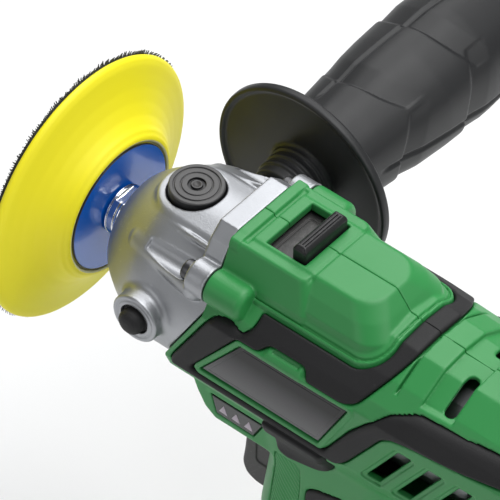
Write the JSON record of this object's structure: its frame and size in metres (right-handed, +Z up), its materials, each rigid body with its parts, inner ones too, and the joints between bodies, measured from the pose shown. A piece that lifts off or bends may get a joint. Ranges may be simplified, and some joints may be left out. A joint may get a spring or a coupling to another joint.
{
  "type": "rotary polisher",
  "caption": "Cordless pistol-grip rotary polisher with hook-and-loop backing pad, planetary gear head, screw-in side handle and slide-on battery.",
  "frame": {"origin": "centre of the battery pack's flat bottom face, on which the tool stands", "axes": "+X forward along the spindle towards the pad face, +Y to the tool's left, +Z up"},
  "size_m": [0.1636, 0.1895, 0.1925],
  "materials": {
    "housing_green": "fine spark-eroded satin",
    "overmould_black": "matt soft-touch rubber",
    "label_dark": "printed film, semi gloss",
    "lens_dark": "smoked window",
    "steel": "ground",
    "alloy": "die cast, satin",
    "seal_bronze": "sintered",
    "chrome": "polished",
    "hub_blue": "printed gloss film",
    "foam_yellow": "moulded PU foam skin",
    "hook_black": "hook-and-loop pile",
    "copper": "wound and turned copper",
    "plastic_black": "moulded satin",
    "magnet_grey": "sintered ferrite and carbon",
    "brass": "turned and stamped",
    "board_green": "solder mask",
    "cell_sleeve": "shrink sleeve"
  },
  "bodies": {
    "body": {"housing_left": "housing_green", "housing_right": "housing_green", "overmould_left": "overmould_black", "overmould_right": "overmould_black", "rating_label_left": "label_dark", "rating_label_right": "label_dark", "gauge_lens": "lens_dark", "housing_screw_1": "steel", "housing_screw_2": "steel", "housing_screw_3": "steel", "housing_screw_4": "steel", "gear_case_screw_left": "steel", "gear_case_screw_right": "steel", "gear_case": "alloy", "handle_hole_plug": "overmould_black", "spindle_bearing_front": "steel", "spindle_bearing_rear": "steel", "spindle_seal": "seal_bronze", "ring_gear": "steel", "motor_can": "steel", "motor_magnet_upper": "magnet_grey", "motor_magnet_lower": "magnet_grey", "motor_end_cap": "plastic_black", "carbon_brush_left": "magnet_grey", "carbon_brush_right": "magnet_grey", "motor_bush_front": "brass", "motor_bush_rear": "brass", "spindle_lock_spring": "steel", "trigger_spring": "steel", "trigger_switch": "plastic_black", "control_board": "board_green", "terminal_block": "brass"},
    "spindle": {"spindle": "chrome", "planet_carrier": "steel", "pad_hub_disc": "hub_blue", "backing_pad": "foam_yellow", "hook_face": "hook_black"},
    "armature": {"sun_gear": "steel", "motor_shaft": "steel", "armature_core": "copper", "commutator": "copper", "cooling_fan": "plastic_black"},
    "planet_1": {"planet_gear_1": "steel"},
    "planet_2": {"planet_gear_2": "steel"},
    "planet_3": {"planet_gear_3": "steel"},
    "lock_button": {"spindle_lock_button": "plastic_black"},
    "selector": {"speed_selector": "plastic_black"},
    "trigger": {"trigger": "plastic_black"},
    "battery": {"battery_lower_case": "plastic_black", "battery_upper_case": "plastic_black", "battery_cell_left": "cell_sleeve", "battery_cell_middle": "cell_sleeve", "battery_cell_right": "cell_sleeve", "battery_contacts": "brass", "battery_latch_spring": "steel"},
    "battery_latch": {"battery_latch": "plastic_black"},
    "side_handle": {"side_handle": "plastic_black", "side_handle_stud": "steel"}
  },
  "joints": [
    {"name": "spindle_spin", "type": "hinge", "parent": "body", "child": "spindle", "pos_m": [0.057, 0, 0.155], "axis": [1, 0, 0], "continuous": true},
    {"name": "armature_spin", "type": "hinge", "parent": "body", "child": "armature", "pos_m": [0.057, 0, 0.155], "axis": [1, 0, 0], "continuous": true},
    {"name": "planet_spin_1", "type": "hinge", "parent": "spindle", "child": "planet_1", "pos_m": [0.034, 0.0105, 0.155], "axis": [1, 0, 0], "continuous": true},
    {"name": "planet_spin_2", "type": "hinge", "parent": "spindle", "child": "planet_2", "pos_m": [0.034, -0.00525, 0.16409], "axis": [1, 0, 0], "continuous": true},
    {"name": "planet_spin_3", "type": "hinge", "parent": "spindle", "child": "planet_3", "pos_m": [0.034, -0.00525, 0.14591], "axis": [1, 0, 0], "continuous": true},
    {"name": "spindle_lock_press", "type": "slide", "parent": "body", "child": "lock_button", "axis": [0, 0, -1], "range_m": [0, 0.0026], "stiffness_N_per_m": 500, "springref_m": -0.001, "deforming": ["spindle_lock_spring"]},
    {"name": "speed_select", "type": "slide", "parent": "body", "child": "selector", "axis": [1, 0, 0], "range_m": [0, 0.006]},
    {"name": "trigger_pull", "type": "slide", "parent": "body", "child": "trigger", "axis": [-1, 0, 0], "range_m": [0, 0.006], "stiffness_N_per_m": 700, "springref_m": -0.002, "deforming": ["trigger_spring"]},
    {"name": "battery_slide", "type": "slide", "parent": "body", "child": "battery", "axis": [1, 0, 0], "range_m": [0, 0.08]},
    {"name": "battery_latch_press", "type": "slide", "parent": "battery", "child": "battery_latch", "axis": [0, 0, -1], "range_m": [0, 0.003], "stiffness_N_per_m": 500, "springref_m": -0.001, "deforming": ["battery_latch_spring"]},
    {"name": "side_handle_unscrew", "type": "slide", "parent": "body", "child": "side_handle", "axis": [0, -1, 0], "range_m": [0, 0.0111]}
  ],
  "couplings": [
    {"joint": "armature_spin", "follows": "spindle_spin", "ratio": 5},
    {"joint": "planet_spin_1", "follows": "spindle_spin", "ratio": -2.6667},
    {"joint": "planet_spin_2", "follows": "spindle_spin", "ratio": -2.6667},
    {"joint": "planet_spin_3", "follows": "spindle_spin", "ratio": -2.6667}
  ]
}
